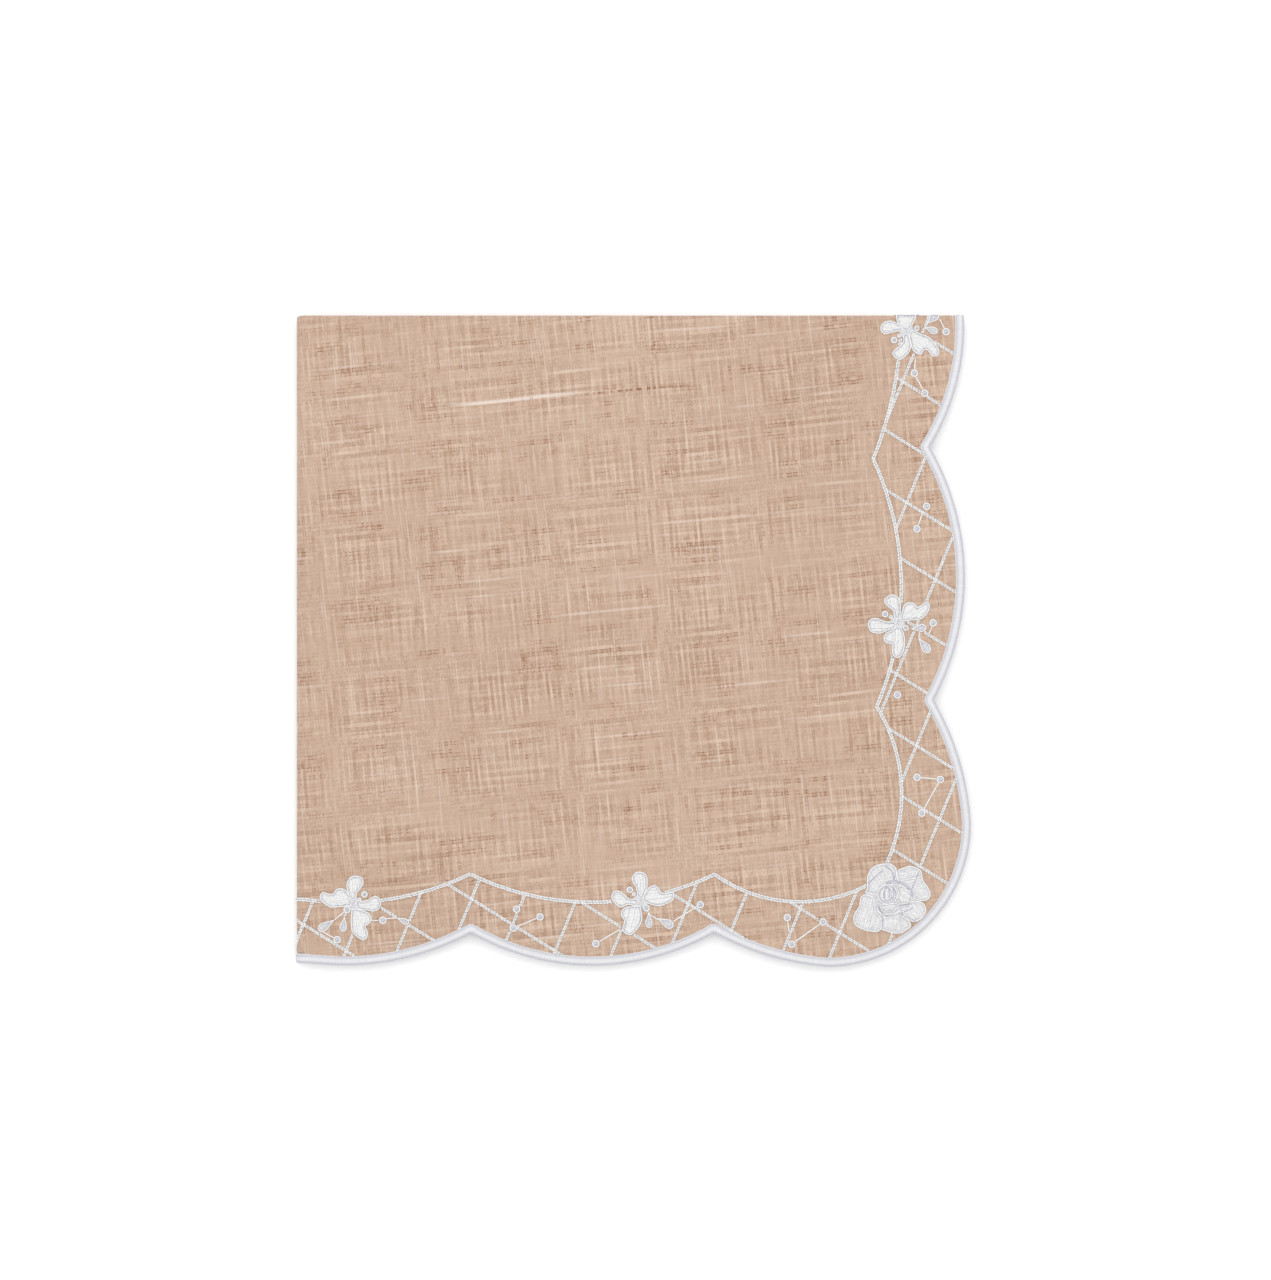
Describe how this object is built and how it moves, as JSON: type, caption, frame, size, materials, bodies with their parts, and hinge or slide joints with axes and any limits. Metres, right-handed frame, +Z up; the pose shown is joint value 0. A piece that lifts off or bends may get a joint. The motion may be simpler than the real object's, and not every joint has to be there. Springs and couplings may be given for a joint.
{
  "type": "embroidered linen napkin",
  "caption": "Square linen napkin folded in quarters, with a scalloped satin-stitched edge, a stitched lattice border, flower sprigs and a corner rose.",
  "frame": {"origin": "bottom centre of the folded stack, on the surface that it lies on", "axes": "+Z up through the layers, +X from the side fold to the scalloped edge, +Y towards the top fold"},
  "size_m": [0.2254, 0.2176, 0.0067],
  "materials": {
    "linen": "matt, coarse plain weave with slubs",
    "satin_edge": "soft sheen, dense satin stitch",
    "embroidery": "soft sheen, mercerised cotton thread"
  },
  "bodies": {
    "lower_half": {"back_border_line": "embroidery", "back_cloth": "linen", "back_inner_border_line": "embroidery", "back_inner_cloth": "linen", "back_inner_knots": "embroidery", "back_inner_lattice_falling": "embroidery", "back_inner_lattice_rising": "embroidery", "back_inner_rose_heart": "embroidery", "back_inner_rose_inner_petals": "embroidery", "back_inner_rose_outer_petals": "embroidery", "back_inner_satin_edge": "satin_edge", "back_inner_sprig_buds": "embroidery", "back_inner_sprig_petals": "embroidery", "back_knots": "embroidery", "back_lattice_falling": "embroidery", "back_lattice_rising": "embroidery", "back_rose_heart": "embroidery", "back_rose_inner_petals": "embroidery", "back_rose_outer_petals": "embroidery", "back_satin_edge": "satin_edge", "back_sprig_buds": "embroidery", "back_sprig_petals": "embroidery", "fold_corner": "linen", "lower_top_edge_turn": "satin_edge", "lower_top_fold": "linen", "side_edge_turn_inner": "satin_edge", "side_edge_turn_outer": "satin_edge", "side_fold_inner": "linen", "side_fold_outer": "linen"},
    "upper_half": {"front_border_line": "embroidery", "front_cloth": "linen", "front_inner_border_line": "embroidery", "front_inner_cloth": "linen", "front_inner_knots": "embroidery", "front_inner_lattice_falling": "embroidery", "front_inner_lattice_rising": "embroidery", "front_inner_rose_heart": "embroidery", "front_inner_rose_inner_petals": "embroidery", "front_inner_rose_outer_petals": "embroidery", "front_inner_satin_edge": "satin_edge", "front_inner_sprig_buds": "embroidery", "front_inner_sprig_petals": "embroidery", "front_knots": "embroidery", "front_lattice_falling": "embroidery", "front_lattice_rising": "embroidery", "front_rose_heart": "embroidery", "front_rose_inner_petals": "embroidery", "front_rose_outer_petals": "embroidery", "front_satin_edge": "satin_edge", "front_sprig_buds": "embroidery", "front_sprig_petals": "embroidery", "upper_top_edge_turn": "satin_edge", "upper_top_fold": "linen"}
  },
  "joints": [
    {"name": "book_fold", "type": "hinge", "parent": "lower_half", "child": "upper_half", "pos_m": [-0.10935, 0, 0.00335], "axis": [0, -1, 0], "range_deg": [0, 180], "deforming": ["side_fold_outer", "side_fold_inner", "side_edge_turn_outer", "side_edge_turn_inner", "fold_corner"]}
  ]
}
